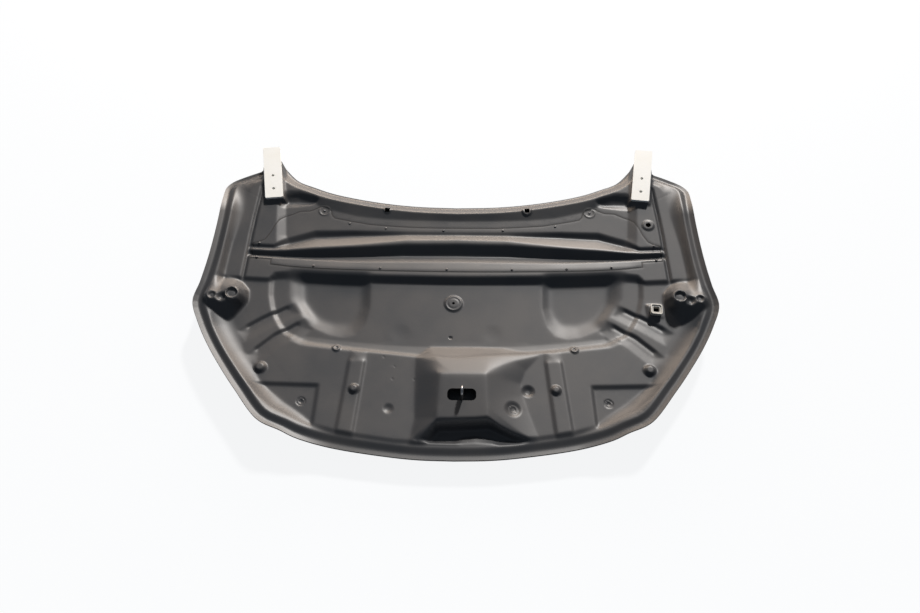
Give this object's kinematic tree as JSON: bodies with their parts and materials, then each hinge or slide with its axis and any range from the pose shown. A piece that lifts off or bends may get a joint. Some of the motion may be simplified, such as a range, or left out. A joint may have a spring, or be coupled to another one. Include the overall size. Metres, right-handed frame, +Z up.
{
  "type": "car bonnet",
  "caption": "Composite car bonnet shown inner side up: moulded inner panel with riveted cross brace, hinge plates, striker and bump-stop towers on a crowned outer skin.",
  "frame": {"origin": "on the ground under the middle of the whole part's bounding box", "axes": "+X to the right of the picture, +Y to the windscreen edge, +Z up out of the inner side"},
  "size_m": [1.416, 0.9659, 0.1042],
  "materials": {
    "outer_gelcoat": "dark grey gelcoat, satin to gloss",
    "dark_laminate": "dark grey moulded laminate, satin, slightly mottled",
    "hinge_plate_paint": "pale cream paint, satin",
    "striker_steel": "dark zinc-plated steel wire",
    "bracket_steel": "black painted steel, matt",
    "socket_plastic": "pale grey moulded plastic, satin",
    "rivet_paint": "dark painted aluminium, satin"
  },
  "bodies": {
    "root": {"brace_rivet_01": "rivet_paint", "brace_rivet_02": "rivet_paint", "brace_rivet_03": "rivet_paint", "brace_rivet_04": "rivet_paint", "brace_rivet_05": "rivet_paint", "brace_rivet_06": "rivet_paint", "brace_rivet_07": "rivet_paint", "brace_rivet_08": "rivet_paint", "brace_rivet_09": "rivet_paint", "brace_rivet_10": "rivet_paint", "brace_rivet_11": "rivet_paint", "brace_rivet_12": "rivet_paint", "brace_rivet_13": "rivet_paint", "brace_rivet_14": "rivet_paint", "brace_rivet_15": "rivet_paint", "brace_rivet_16": "rivet_paint", "brace_rivet_17": "rivet_paint", "cross_brace_panel": "dark_laminate", "hinge_plate_left": "hinge_plate_paint", "hinge_plate_right": "hinge_plate_paint", "inner_panel": "dark_laminate", "outer_skin": "outer_gelcoat", "stay_socket": "socket_plastic", "striker_bracket": "bracket_steel", "striker_loop": "striker_steel"}
  },
  "joints": []
}
